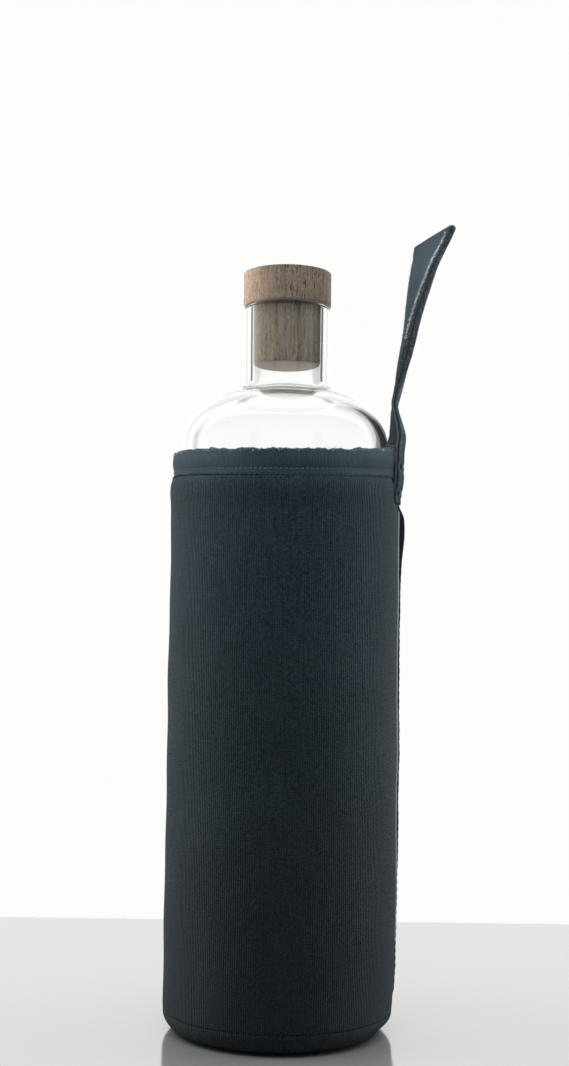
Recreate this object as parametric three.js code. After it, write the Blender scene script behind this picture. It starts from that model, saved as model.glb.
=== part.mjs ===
// A glass water bottle with a turned wooden stopper, in a close-fitting neoprene sleeve that has a
// sewn-on carrying strap. Millimetres, +Z up. The origin is the centre of the sleeve's underside,
// and the strap is on the +X side.

import * as THREE from 'three';

// Shared values.
const SIDES = 48; // facets round every turned piece
const GAP = 0.3; // between two faces that touch on the real object
const DEGREE = Math.PI / 180;

// Sleeve.
const SLEEVE_RADIUS = 39.8;
const SLEEVE_THICKNESS = 3.4;
const SLEEVE_TOP = 198;
const BASE_CORNER = 7.2; // outer rounding where the base turns up into the wall
const HEM_HEIGHT = 10.4;
const HEM_INSET = 0.6; // the hem draws in by this much
const SLEEVE_BORE = SLEEVE_RADIUS - SLEEVE_THICKNESS;
const HEM_RADIUS = SLEEVE_RADIUS - HEM_INSET;
const HEM_BOTTOM = SLEEVE_TOP - HEM_HEIGHT;

// Glass.
const GLASS_RADIUS = 36;
const GLASS_FOOT = SLEEVE_THICKNESS + 0.4;
const GLASS_WALL = 2.5;
const GLASS_FLOOR = 5.5; // thickness of the heavy base
const GLASS_CORNER = 3.4;
const PUNT_RADIUS = 27;
const PUNT_DEPTH = 1.2;
const SHOULDER_Z = 200.4; // where the straight body ends
const SHOULDER_RISE = 20.5;
const SHOULDER_REACH = 28.6;
const NECK_RADIUS = 15.3;
const NECK_BORE = 12.05;
const RIM_Z = 250;
const RIM_ROUND = 1;

// Stopper.
const HEAD_RADIUS = 15.3;
const HEAD_HEIGHT = 12;
const HEAD_ROUND = 0.7;
const PLUG_RADIUS = 11.7;
const PLUG_LENGTH = 21;
const PLUG_CHAMFER = 0.6;
const SPIGOT_RADIUS = 5;
const SPIGOT_LENGTH = 6;

// Strap.
const STRAP_WIDTH = 25;
const STRAP_PLY = 1.8;
const STRAP_SEWN_PLY = 1.1; // each ply is pressed thin where it is sewn down
const STRAP_LAP_BOTTOM = 180.5; // lower end of the length that is sewn to the sleeve
const STRAP_LAP_TOP = SLEEVE_TOP + 0.2;
const STRAP_LAP_RADIUS = SLEEVE_RADIUS + GAP; // inner face
const STRAP_TOP = 277;
const STRAP_PINCH_Z = 216; // the two plies are flat and thinnest up to here
const STRAP_PINCH_X = 38.2;
const STRAP_LEAN = 0.205; // outward run for each millimetre of rise
const STRAP_CURL = 0.9; // the fold stands out by this much more
const STRAP_BOW = 0.12; // half of the widest gap between the plies
const STRAP_TWIST = 24 * DEGREE; // most of it just below the fold
const STRAP_SKEW = -4 * DEGREE; // at the pinch
const STRAP_SLANT = 0.07; // the fold's fall for each millimetre across
const STRAP_HINGE_X = STRAP_LAP_RADIUS + 2 * STRAP_SEWN_PLY + 0.1;
const STRAP_INWARD = 20 * DEGREE; // the foot of the loop is cut back for this much inward swing

// Seam and threads.
const SEAM_AZIMUTH = 4 * DEGREE;
const SEAM_WIDTH = 5;
const THREAD_RADIUS = 0.25;
const THREAD_SIDES = 6; // even

const COLOUR = {
  glass: { color: 0xe6eeeb, roughness: 0.05, metalness: 0, transparent: true, opacity: 0.35 },
  wood: { color: 0x7d6854, roughness: 0.75, metalness: 0 },
  knit: { color: 0x202a36, roughness: 0.9, metalness: 0 },
  hem: { color: 0x27343d, roughness: 0.85, metalness: 0 },
  strap: { color: 0x333d4a, roughness: 0.9, metalness: 0 },
  thread: { color: 0x141c24, roughness: 0.7, metalness: 0 },
};

// ---- shape helpers ----

function named(name, geometry, finish) {
  const mesh = new THREE.Mesh(geometry, new THREE.MeshStandardMaterial(finish));
  mesh.name = name;
  return mesh;
}

// Points of an arc, from one angle to another in degrees, in the (radius, z) plane.
function arc(r, z, radiusR, radiusZ, from, to, steps) {
  const points = [];
  for (let i = 0; i <= steps; i += 1) {
    const a = (from + ((to - from) * i) / steps) * DEGREE;
    points.push([r + radiusR * Math.cos(a), z + radiusZ * Math.sin(a)]);
  }
  return points;
}

// A solid turned about the Z axis. The outline runs anticlockwise in the (radius, z) plane.
function turned(outline) {
  const geometry = new THREE.LatheGeometry(outline.map(([r, z]) => new THREE.Vector2(r, z)), SIDES);
  return geometry.rotateX(Math.PI / 2);
}

// A turned ring: the outline is closed on itself.
function turnedRing(outline) {
  return turned([...outline, outline[0]]);
}

// A round thread along a curve given by a function of 0..1.
function thread(place, steps) {
  const path = new (class extends THREE.Curve {
    getPoint(t) {
      return place(t);
    }
  })();
  const section = new THREE.Shape().absarc(0, 0, THREAD_RADIUS, 0, 2 * Math.PI);
  return new THREE.ExtrudeGeometry(section, {
    steps,
    curveSegments: THREAD_SIDES / 2,
    bevelEnabled: false,
    extrudePath: path,
  });
}

// A point on a cylinder about Z, from its radius, the distance along its girth, and its height.
function onCylinder(radius, girth, z, azimuth = 0) {
  const a = azimuth + girth / radius;
  return new THREE.Vector3(radius * Math.cos(a), radius * Math.sin(a), z);
}

// Extrudes an outline drawn in the (offset, z) plane across a width, then moves every vertex to
// where place(width, offset, z) puts it.
function swept(shape, width, steps, curveSegments, place) {
  const geometry = new THREE.ExtrudeGeometry(shape, {
    depth: width,
    steps,
    curveSegments,
    bevelEnabled: false,
  });
  const position = geometry.getAttribute('position');
  for (let i = 0; i < position.count; i += 1) {
    const across = width / 2 - position.getZ(i);
    const moved = place(across, position.getX(i), position.getY(i));
    position.setXYZ(i, moved.x, moved.y, moved.z);
  }
  geometry.computeVertexNormals();
  return geometry;
}

function smoothstep(from, to, value) {
  return THREE.MathUtils.smoothstep(value, from, to);
}

// ---- glass bottle ----

// The shoulder's quarter ellipse and the small fillet that turns it up into the neck.
function shoulder(bodyRadius, reach, rise, neckRadius, fillet) {
  const centre = bodyRadius - reach;
  const meet = Math.acos((neckRadius + 0.75 * fillet - centre) / reach) / DEGREE;
  const curve = arc(centre, SHOULDER_Z, reach, rise, 0, meet, 10);
  const [, top] = curve[curve.length - 1];
  const neck = arc(neckRadius + fillet, top + fillet, fillet, fillet, 250, 180, 3);
  return [...curve, ...neck];
}

function glassBottle() {
  const floor = GLASS_FOOT + GLASS_FLOOR;
  const bore = GLASS_RADIUS - GLASS_WALL;
  const innerCorner = 5;
  const cornerCentre = GLASS_RADIUS - GLASS_CORNER;
  const outside = [
    [0, GLASS_FOOT + PUNT_DEPTH],
    [PUNT_RADIUS, GLASS_FOOT + PUNT_DEPTH],
    [PUNT_RADIUS + 2, GLASS_FOOT],
    ...arc(cornerCentre, GLASS_FOOT + GLASS_CORNER, GLASS_CORNER, GLASS_CORNER, -90, 0, 4),
    ...shoulder(GLASS_RADIUS, SHOULDER_REACH, SHOULDER_RISE, NECK_RADIUS, 2.4),
    ...arc(NECK_RADIUS - RIM_ROUND, RIM_Z - RIM_ROUND, RIM_ROUND, RIM_ROUND, 0, 90, 2),
  ];
  const inside = [
    [0, floor + 1],
    [bore - innerCorner - 8, floor + 0.4],
    ...arc(bore - innerCorner, floor + innerCorner, innerCorner, innerCorner, -90, 0, 3),
    ...shoulder(bore, SHOULDER_REACH - GLASS_WALL, SHOULDER_RISE - GLASS_WALL, NECK_BORE, 3.6),
    ...arc(NECK_BORE + RIM_ROUND, RIM_Z - RIM_ROUND, RIM_ROUND, RIM_ROUND, 180, 90, 2),
  ];
  return turned([...outside, ...inside.reverse()]);
}

// ---- wooden stopper ----

function stopperHead() {
  const bottom = RIM_Z + GAP;
  const top = bottom + HEAD_HEIGHT;
  const socket = SPIGOT_RADIUS + GAP;
  const socketTop = bottom + SPIGOT_LENGTH + GAP;
  const middle = HEAD_RADIUS - HEAD_ROUND;
  return turned([
    [0, socketTop],
    [socket, socketTop],
    [socket, bottom],
    ...arc(middle, bottom + HEAD_ROUND, HEAD_ROUND, HEAD_ROUND, -90, 0, 3),
    ...arc(middle, top - HEAD_ROUND, HEAD_ROUND, HEAD_ROUND, 0, 90, 3),
    [0, top],
  ]);
}

function stopperPlug() {
  const top = RIM_Z;
  const bottom = top - PLUG_LENGTH;
  return turned([
    [0, bottom],
    [PLUG_RADIUS - PLUG_CHAMFER, bottom],
    [PLUG_RADIUS, bottom + PLUG_CHAMFER],
    [PLUG_RADIUS, top],
    [SPIGOT_RADIUS, top],
    [SPIGOT_RADIUS, top + SPIGOT_LENGTH],
    [0, top + SPIGOT_LENGTH],
  ]);
}

// ---- sleeve ----

function sleeveBase() {
  const centre = SLEEVE_RADIUS - BASE_CORNER;
  const inner = BASE_CORNER - SLEEVE_THICKNESS;
  return turned([
    [0, 0],
    ...arc(centre, BASE_CORNER, BASE_CORNER, BASE_CORNER, -90, 0, 6),
    ...arc(centre, BASE_CORNER, inner, inner, 0, -90, 4),
    [0, SLEEVE_THICKNESS],
  ]);
}

function ring(inner, outer, bottom, top, round) {
  return turnedRing([
    [inner, bottom],
    [outer - round, bottom],
    [outer, bottom + round],
    [outer, top - round],
    [outer - round, top],
    [inner, top],
  ]);
}

// A tape that covers the joint where the wall's two edges meet. It stands proudest just under the
// strap and lies flatter below.
function sideSeamBinding() {
  const bottom = BASE_CORNER + 4;
  const top = STRAP_LAP_BOTTOM - 1;
  const inner = SLEEVE_RADIUS + GAP;
  const outer = [[1.1, bottom], [1.1, top - 36], [2.3, top - 9], [1.0, top]];
  const shape = new THREE.Shape();
  shape.moveTo(0, bottom);
  outer.forEach(([rise, z]) => shape.lineTo(rise, z));
  shape.lineTo(0, top);
  shape.closePath();
  return swept(shape, SEAM_WIDTH, 2, 1, (across, offset, z) =>
    onCylinder(inner + offset, across, z, SEAM_AZIMUTH));
}

// ---- strap ----

// The length of strap, two plies thick, that is sewn flat round the sleeve's side.
function strapSewnEnd() {
  const shape = new THREE.Shape();
  shape.moveTo(0, STRAP_LAP_BOTTOM);
  shape.lineTo(2 * STRAP_SEWN_PLY, STRAP_LAP_BOTTOM + 0.6);
  shape.lineTo(2 * STRAP_SEWN_PLY, STRAP_LAP_TOP);
  shape.lineTo(0, STRAP_LAP_TOP);
  shape.closePath();
  return swept(shape, STRAP_WIDTH, 8, 1, (across, offset, z) =>
    onCylinder(STRAP_LAP_RADIUS + offset, across, z));
}

// Where the strap is at a height: X of its middle surface on the centre line, girth radius, twist,
// and how thick it is as a share of two free plies.
function strapAt(z) {
  const flat = smoothstep(STRAP_LAP_TOP + 2, STRAP_PINCH_Z, z);
  const wrapped = STRAP_LAP_RADIUS + STRAP_SEWN_PLY;
  const above = Math.max(z - STRAP_PINCH_Z, 0);
  const free = STRAP_PINCH_X + STRAP_LEAN * above + STRAP_CURL * smoothstep(STRAP_TOP - 17, STRAP_TOP, z);
  const untwist = STRAP_SKEW * flat * (1 - smoothstep(STRAP_PINCH_Z, STRAP_PINCH_Z + 24, z));
  const climb = THREE.MathUtils.clamp((z - 240) / (STRAP_TOP - 240), 0, 1);
  return {
    x: THREE.MathUtils.lerp(wrapped, free, flat),
    radius: wrapped / Math.max(1 - flat, 0.01),
    turn: untwist + STRAP_TWIST * climb ** 1.5,
    thick: THREE.MathUtils.lerp(STRAP_SEWN_PLY / STRAP_PLY, 1,
      smoothstep(STRAP_PINCH_Z + 2, STRAP_PINCH_Z + 18, z)),
  };
}

// The foot of the loop is cut along a plane that leaves room for it to lean inwards.
function strapFoot(x) {
  return STRAP_LAP_TOP + GAP + (STRAP_HINGE_X - x) * Math.tan(STRAP_INWARD);
}

function strapPoint(across, offset, z) {
  const { x, radius, turn, thick } = strapAt(z);
  const a = across / radius;
  const alongX = (radius + offset * thick) * Math.cos(a) - radius;
  const alongY = (radius + offset * thick) * Math.sin(a);
  const fall = STRAP_SLANT * across * smoothstep(250, STRAP_TOP, z);
  const point = new THREE.Vector3(alongX, alongY, z - fall);
  point.applyAxisAngle(new THREE.Vector3(0, 0, 1), turn);
  point.x += x;
  point.z = Math.max(point.z, strapFoot(point.x));
  return point;
}

// The free loop: two plies side by side, joined by the fold at the top and at the foot.
function strapLoop() {
  const foot = STRAP_LAP_TOP + GAP;
  const slotFoot = STRAP_PINCH_Z + 2;
  const slotTop = STRAP_TOP - STRAP_PLY - 0.4;
  const half = (z) => {
    const t = (z - slotFoot) / (slotTop - slotFoot);
    return t <= 0 || t >= 1 ? 0 : STRAP_BOW * Math.sin(Math.PI * t) ** 0.7;
  };
  const steps = 14;
  const heights = Array.from({ length: steps + 1 }, (_, i) =>
    THREE.MathUtils.lerp(slotFoot, slotTop, i / steps));
  const shape = new THREE.Shape();
  shape.moveTo(STRAP_PLY, foot);
  [foot + 6, foot + 12, ...heights].forEach((z) => shape.lineTo(STRAP_PLY + half(z), z));
  shape.absarc(0, STRAP_TOP - STRAP_PLY, STRAP_PLY, 0, Math.PI);
  [...heights].reverse().forEach((z) => shape.lineTo(-STRAP_PLY - half(z), z));
  [foot + 12, foot + 6, foot].forEach((z) => shape.lineTo(-STRAP_PLY, z));
  const slot = new THREE.Path();
  slot.moveTo(0, slotFoot);
  heights.slice(1, -1).forEach((z) => slot.lineTo(-half(z), z));
  slot.lineTo(0, slotTop);
  heights.slice(1, -1).reverse().forEach((z) => slot.lineTo(half(z), z));
  slot.closePath();
  shape.holes.push(slot);
  return swept(shape, STRAP_WIDTH, 6, 5, strapPoint);
}

// ---- threads ----

// The row stops short of the strap on both sides.
function hemStitching() {
  const radius = HEM_RADIUS + GAP + THREAD_RADIUS;
  const middle = HEM_BOTTOM + 1.4;
  const waves = 25;
  const clear = STRAP_WIDTH / 2 + 1;
  const length = 2 * Math.PI * radius - 2 * clear;
  return thread((t) => onCylinder(radius, clear + length * t,
    middle + 0.6 * Math.sin(2 * Math.PI * waves * t)), waves * 6);
}

function baseStitching() {
  const radius = SLEEVE_RADIUS + GAP + THREAD_RADIUS;
  return thread((t) => onCylinder(radius, 2 * Math.PI * radius * (0.998 * t + 0.25),
    BASE_CORNER + GAP / 2), 72);
}

// One row that crosses the seam's tape from side to side as it climbs.
function sideSeamStitching() {
  const bottom = BASE_CORNER + 6;
  const top = STRAP_LAP_BOTTOM - 40;
  const waves = 19;
  const radius = SLEEVE_RADIUS + GAP + 1.1 + GAP + THREAD_RADIUS;
  return thread((t) => onCylinder(radius, 1.4 * Math.sin(2 * Math.PI * waves * t),
    THREE.MathUtils.lerp(bottom, top, t), SEAM_AZIMUTH), waves * 6);
}

// A short dense row across the strap that fixes it to the sleeve.
function barTack(z) {
  const radius = STRAP_LAP_RADIUS + 2 * STRAP_SEWN_PLY + GAP + THREAD_RADIUS;
  const length = STRAP_WIDTH - 3;
  const waves = 6;
  return thread((t) => onCylinder(radius, length * (t - 0.5),
    z + 0.7 * Math.sin(2 * Math.PI * waves * t)), waves * 7);
}

// ---- assembly ----

const bottle = new THREE.Group();
bottle.add(named('glass_bottle', glassBottle(), COLOUR.glass));

const stopper = new THREE.Group();
stopper.add(named('stopper_head', stopperHead(), COLOUR.wood));
stopper.add(named('stopper_plug', stopperPlug(), COLOUR.wood));

const sleeve = new THREE.Group();
sleeve.add(named('sleeve_base', sleeveBase(), COLOUR.knit));
sleeve.add(named('sleeve_wall',
  ring(SLEEVE_BORE, SLEEVE_RADIUS, BASE_CORNER + GAP, HEM_BOTTOM - GAP, 0.4), COLOUR.knit));
sleeve.add(named('hem_band', ring(SLEEVE_BORE, HEM_RADIUS, HEM_BOTTOM, SLEEVE_TOP, 0.4), COLOUR.hem));
sleeve.add(named('side_seam_binding', sideSeamBinding(), COLOUR.knit));
sleeve.add(named('hem_stitching', hemStitching(), COLOUR.thread));
sleeve.add(named('base_stitching', baseStitching(), COLOUR.thread));
sleeve.add(named('side_seam_stitching', sideSeamStitching(), COLOUR.thread));

const strap = new THREE.Group();
strap.add(named('strap_sewn_end', strapSewnEnd(), COLOUR.strap));
strap.add(named('strap_loop', strapLoop(), COLOUR.strap));
strap.add(named('upper_bar_tack', barTack(STRAP_LAP_TOP - 5.5), COLOUR.thread));
strap.add(named('lower_bar_tack', barTack(STRAP_LAP_BOTTOM + 3), COLOUR.thread));

const object = new THREE.Group();
object.add(sleeve, bottle, stopper, strap);

export default object;
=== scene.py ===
"""Looks for a glass water bottle with a wooden stopper in a knit-faced neoprene sleeve.

Shapes are worked out in millimetres and become metres when a mesh is made. The CAD frame gives
every main size; the named values below only add what fabric, thread, wood and glass do on it.
"""

import math

import bmesh
import bpy
import numpy as np
from mathutils import Matrix, Vector


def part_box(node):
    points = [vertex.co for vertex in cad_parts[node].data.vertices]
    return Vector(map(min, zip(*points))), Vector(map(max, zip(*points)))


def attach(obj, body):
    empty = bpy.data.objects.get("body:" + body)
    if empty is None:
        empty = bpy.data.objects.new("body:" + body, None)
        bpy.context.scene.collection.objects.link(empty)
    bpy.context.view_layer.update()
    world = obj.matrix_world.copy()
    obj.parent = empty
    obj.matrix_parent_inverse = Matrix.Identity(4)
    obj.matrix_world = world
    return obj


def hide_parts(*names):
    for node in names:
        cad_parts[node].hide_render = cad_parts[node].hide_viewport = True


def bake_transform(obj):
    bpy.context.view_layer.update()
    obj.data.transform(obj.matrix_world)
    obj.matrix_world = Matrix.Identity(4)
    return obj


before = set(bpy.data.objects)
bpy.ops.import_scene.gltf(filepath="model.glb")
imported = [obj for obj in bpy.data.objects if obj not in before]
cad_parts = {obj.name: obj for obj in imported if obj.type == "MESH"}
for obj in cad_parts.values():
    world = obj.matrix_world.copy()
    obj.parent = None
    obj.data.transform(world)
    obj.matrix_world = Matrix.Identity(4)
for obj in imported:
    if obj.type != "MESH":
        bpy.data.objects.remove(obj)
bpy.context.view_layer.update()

MM = 0.001
TAU = 2 * math.pi
RANDOM = np.random.default_rng(20)


# ---- camera ----

CAMERA_DISTANCE = 0.522
CAMERA_HEIGHT = 0.135
CAMERA_PITCH = math.radians(3.85)
CAMERA_ROLL = math.radians(0.73)
CAMERA_LENS = 50.3


def make_camera():
    data = bpy.data.cameras.new("camera")
    data.lens = CAMERA_LENS
    data.sensor_width = 36
    data.clip_start = 0.01
    camera = bpy.data.objects.new("camera", data)
    bpy.context.collection.objects.link(camera)
    forward = Vector((0, math.cos(CAMERA_PITCH), math.sin(CAMERA_PITCH)))
    level_up = Vector((0, -math.sin(CAMERA_PITCH), math.cos(CAMERA_PITCH)))
    level_right = Vector((1, 0, 0))
    right = level_right * math.cos(CAMERA_ROLL) + level_up * math.sin(CAMERA_ROLL)
    up = level_up * math.cos(CAMERA_ROLL) - level_right * math.sin(CAMERA_ROLL)
    turn = Matrix((right, up, -forward)).transposed().to_4x4()
    camera.matrix_world = Matrix.Translation((0, -CAMERA_DISTANCE, CAMERA_HEIGHT)) @ turn
    bpy.context.scene.camera = camera


make_camera()


# ---- sizes from the frame, in millimetres ----

def node_box(node):
    low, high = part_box(node)
    return np.array(low) / MM, np.array(high) / MM


WALL_LOW, WALL_HIGH = node_box("sleeve_wall")
HEM_LOW, HEM_HIGH = node_box("hem_band")
BASE_HIGH = node_box("sleeve_base")[1]
SEAM_LOW, SEAM_HIGH = node_box("side_seam_binding")
GLASS_LOW, GLASS_HIGH = node_box("glass_bottle")
HEAD_LOW, HEAD_HIGH = node_box("stopper_head")
PLUG_LOW, PLUG_HIGH = node_box("stopper_plug")
LAP_LOW, LAP_HIGH = node_box("strap_sewn_end")

SLEEVE_RADIUS = WALL_HIGH[0]
SLEEVE_THICKNESS = 3.4
HEM_RADIUS = HEM_HIGH[0]
STITCH_Z = HEM_LOW[2]
SLEEVE_TOP = HEM_HIGH[2]
BASE_SEAM_Z = BASE_HIGH[2]
UNEVEN = 0.16  # height of the slow waves in the sleeve's cloth
TUCK = 1.1  # how far the cloth draws in above the base's corner
TUCK_TOP = 27
TUCK_FOOT = 5


# ---- mesh helpers ----

def smooth(start, end, value):
    t = np.clip((np.asarray(value, float) - start) / (end - start), 0, 1)
    return t * t * (3 - 2 * t)


def arc(centre, radius, start, end, steps):
    """Points of an arc or ellipse in a plane; angles in degrees."""
    radii = radius if isinstance(radius, tuple) else (radius, radius)
    angle = np.radians(np.linspace(start, end, steps + 1))
    return [(centre[0] + radii[0] * math.cos(a), centre[1] + radii[1] * math.sin(a)) for a in angle]


def line(start, end, steps):
    """Points from start towards end, without the end itself."""
    t = np.arange(steps)[:, None] / steps
    return [tuple(p) for p in np.array(start) * (1 - t) + np.array(end) * t]


def make_piece(name, vertices, faces, uv, sharp=35, weld=False):
    """A mesh object from vertices in millimetres, faces, and a UV in metres for each face corner."""
    mesh = bpy.data.meshes.new(name)
    mesh.from_pydata((np.asarray(vertices) * MM).tolist(), [], [list(f) for f in faces])
    layer = mesh.uv_layers.new(name="weave")
    layer.data.foreach_set("uv", np.asarray(uv, np.float32).ravel())
    work = bmesh.new()
    work.from_mesh(mesh)
    if weld:
        bmesh.ops.remove_doubles(work, verts=work.verts, dist=1e-7)
    bmesh.ops.recalc_face_normals(work, faces=work.faces)
    work.to_mesh(mesh)
    work.free()
    mesh.shade_smooth()
    mesh.set_sharp_from_angle(angle=math.radians(sharp))
    piece = bpy.data.objects.new(name, mesh)
    bpy.context.collection.objects.link(piece)
    return piece


def grid(points, u, v, close_rows, close_columns):
    """Faces and UVs of a grid of points shaped (rows, columns, 3). u and v have one value more
    than the grid along each closed side."""
    rows, columns = points.shape[:2]
    r, c = np.meshgrid(
        np.arange(rows if close_rows else rows - 1),
        np.arange(columns if close_columns else columns - 1),
        indexing="ij",
    )
    r, c = r.ravel(), c.ravel()
    below, beside = (r + 1) % rows, (c + 1) % columns
    corners = [(r, c), (r, beside), (below, beside), (below, c)]
    faces = np.stack([a * columns + b for a, b in corners], 1)
    places = [(r, c), (r, c + 1), (r + 1, c + 1), (r + 1, c)]
    uv = np.stack([np.stack([u[b], v[a]], 1) for a, b in places], 1)
    return faces.tolist(), uv.reshape(-1, 2)


def lengths(points):
    """Distance along a line of points, in metres, starting at 0."""
    steps = np.linalg.norm(np.diff(np.asarray(points, float), axis=0), axis=1)
    return np.concatenate([[0], np.cumsum(steps)]) * MM


def revolved(name, outline, segments, shape=None, sharp=35):
    """A piece turned about Z from (radius, z) points: a closed ring, or a line from axis to axis.
    shape(theta, radius, z) may move the points."""
    outline = np.array(outline, float)
    on_axis = outline[0, 0] == 0
    theta = np.linspace(0, TAU, segments, endpoint=False)[None, :]
    radius = outline[:, :1] + 0 * theta
    z = outline[:, 1:] + 0 * theta
    if shape:
        radius, z = shape(theta, radius, z)
    points = np.stack([radius * np.cos(theta), radius * np.sin(theta), z], 2)
    girth = np.linspace(0, TAU * outline[:, 0].max() * MM, segments + 1)
    along = lengths(outline if on_axis else np.vstack([outline, outline[:1]]))
    faces, uv = grid(points, girth, along, not on_axis, True)
    return make_piece(name, points.reshape(-1, 3), faces, uv, sharp, weld=on_axis)


def strip(name, points, across, along, sharp=35):
    """A bar from closed sections: points shaped (rows, section, 3), capped at both ends."""
    rows, count = points.shape[:2]
    faces, uv = grid(points, across, along, False, True)
    ends = [list(range(count))[::-1], list(range((rows - 1) * count, rows * count))]
    flat = np.zeros((2 * count, 2))
    return make_piece(name, points.reshape(-1, 3), faces + ends, np.vstack([uv, flat]), sharp)


def threads(name, paths, radius, outwards, sides=6):
    """Short lengths of thread along paths of points; outwards(point) is a direction off the cloth."""
    vertices, faces, uvs = [], [], []
    angle = np.linspace(0, TAU, sides, endpoint=False)
    for path in paths:
        path = np.asarray(path, float)
        count = len(path)
        tangent = np.gradient(path, axis=0)
        tangent /= np.linalg.norm(tangent, axis=1)[:, None]
        side = np.cross(tangent, outwards(path))
        side /= np.linalg.norm(side, axis=1)[:, None]
        up = np.cross(side, tangent)
        taper = radius * (0.35 + 0.65 * np.sin(np.linspace(0.12, 0.88, count) * math.pi) ** 0.4)
        ring = side[:, None] * np.cos(angle)[None, :, None] + up[:, None] * np.sin(angle)[None, :, None]
        points = path[:, None] + ring * taper[:, None, None]
        first = sum(len(v) for v in vertices)
        some, uv = grid(points, np.linspace(0, 1, sides + 1) * TAU * radius * MM, lengths(path), False, True)
        ends = [list(range(sides))[::-1], list(range((count - 1) * sides, count * sides))]
        faces += [[i + first for i in f] for f in some + ends]
        uvs += [uv, np.zeros((2 * sides, 2))]
        vertices.append(points.reshape(-1, 3))
    return make_piece(name, np.vstack(vertices), faces, np.vstack(uvs), sharp=80)


def from_axis(points):
    """Unit directions away from the Z axis."""
    flat = points * np.array([1, 1, 0])
    return flat / np.linalg.norm(flat, axis=1)[:, None]


def around(radius, theta, z):
    return np.stack(np.broadcast_arrays(radius * np.cos(theta), radius * np.sin(theta), z), -1)


# ---- how the cloth lies ----

STRAP_WIDTH = 25.0
SEAM_ANGLE = math.atan2((SEAM_LOW[1] + SEAM_HIGH[1]) / 2, SEAM_HIGH[0])
SWELLS = [
    (int(m), w, a, b)
    for m, w, a, b in zip(
        RANDOM.integers(1, 9, 10),
        RANDOM.uniform(22, 95, 10),
        RANDOM.uniform(0, TAU, 10),
        RANDOM.uniform(0, TAU, 10),
    )
]


def wrapped(theta):
    return (np.asarray(theta) + math.pi) % TAU - math.pi


def swell(theta, z):
    """Slow unevenness of stretched cloth, about 1 at most."""
    waves = [np.cos(m * theta + a) * np.cos(TAU * z / w + b) for m, w, a, b in SWELLS]
    return sum(waves) / math.sqrt(len(SWELLS))


def rise(theta, z):
    """How far the cloth's mouth stands above its flat outline: low in front, pulled up by the strap."""
    front = np.maximum(0, -np.sin(theta)) ** 2
    side = np.exp(-((wrapped(theta) / 0.8) ** 2))
    behind_strap = smooth(0.37, 0.33, np.abs(wrapped(theta)))
    waves = 0.22 * np.sin(9 * theta + 1) * np.sin(4 * theta) + 0.13 * np.sin(23 * theta + 2)
    at_stitch = 0.3 - 1.9 * front + 0.8 * side
    at_top = -1.1 - 1.45 * front + 2.2 * side + 1.2 * behind_strap + waves
    up_to_stitch = smooth(140, STITCH_Z, z)
    share = np.clip((z - STITCH_Z) / (SLEEVE_TOP - STITCH_Z), 0, 1)
    return up_to_stitch * at_stitch * (1 - share) + at_top * share


def tuck(theta):
    """How much more the base's corner is rounded off: most on the seam's side, a little in front."""
    front = np.maximum(0, -np.sin(theta)) ** 2
    return np.exp(-((wrapped(theta + 0.25) / 0.7) ** 2)) + 0.35 * front


def wall_radius(theta, z):
    """Outer radius of the sleeve's wall at a height on its flat outline."""
    radius = SLEEVE_RADIUS + UNEVEN * swell(theta, z) - TUCK * tuck(theta) * smooth(TUCK_TOP, TUCK_FOOT, z)
    radius = radius - 0.3 * np.exp(-(((STITCH_Z - z) / 1.0) ** 2))
    radius = radius + 0.5 * np.exp(-(((STITCH_Z - 4 - z) / 4) ** 2))
    radius = radius - 0.12 * np.exp(-(((z - BASE_SEAM_Z) / 1.6) ** 2))
    off_strap = np.abs(wrapped(theta)) * SLEEVE_RADIUS
    pressed = smooth(STRAP_WIDTH / 2 + 5, STRAP_WIDTH / 2 - 1, off_strap) * smooth(176, 183, z)
    return radius - 0.9 * pressed


def hem_radius(theta, z):
    """Outer radius of the hem, which draws in at its stitches and its cut edge."""
    height = z - STITCH_Z
    radius = HEM_RADIUS + 0.12 * swell(theta, 3 * z) + 0.35 * np.exp(-(((height - 6.6) / 2.4) ** 2))
    radius = radius - 0.2 * np.exp(-((height / 0.6) ** 2))
    return radius - 0.26 * np.exp(-(((height - COVER_ROW) / 0.8) ** 2))


# ---- sleeve ----

def cloth_ring(outer, bottom, top, thickness, rows, edge, foot=0.2):
    """Closed outline of a band of cloth: outside going up, then inside coming down. edge and foot
    are the roundings of its upper and lower outer corners."""
    inner = outer - thickness
    out = line((outer, bottom + foot), (outer, top - edge), rows)
    turn = arc((outer - edge, top - edge), edge, 0, 90, 4)
    over = line((outer - edge, top), (inner, top), 4)[1:]
    back = line((inner, top), (inner, bottom), max(rows // 5, 4))
    under = line((inner, bottom), (outer - foot, bottom), 3)
    return out + turn + over + back + under + arc((outer - foot, bottom + foot), foot, -90, 0, 4)[:-1]


def shape_wall(theta, radius, z):
    depth = SLEEVE_RADIUS - radius
    outside = 1 - smooth(0, SLEEVE_THICKNESS, depth)
    moved = wall_radius(theta, z) - SLEEVE_RADIUS
    return radius + moved * outside, z + rise(theta, z)


WALL_LIP = 0.6  # how far the wall laps over the hem's foot


def make_wall():
    top = WALL_HIGH[2] + WALL_LIP
    outline = cloth_ring(SLEEVE_RADIUS, WALL_LOW[2], top, SLEEVE_THICKNESS, 130, edge=0.5, foot=0.05)
    return revolved("sleeve_wall_cloth", outline, 288, shape_wall)


HEM_EDGE = 0.95  # rounding of the hem's cut edge
HEM_PLIES = 2.8


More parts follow.
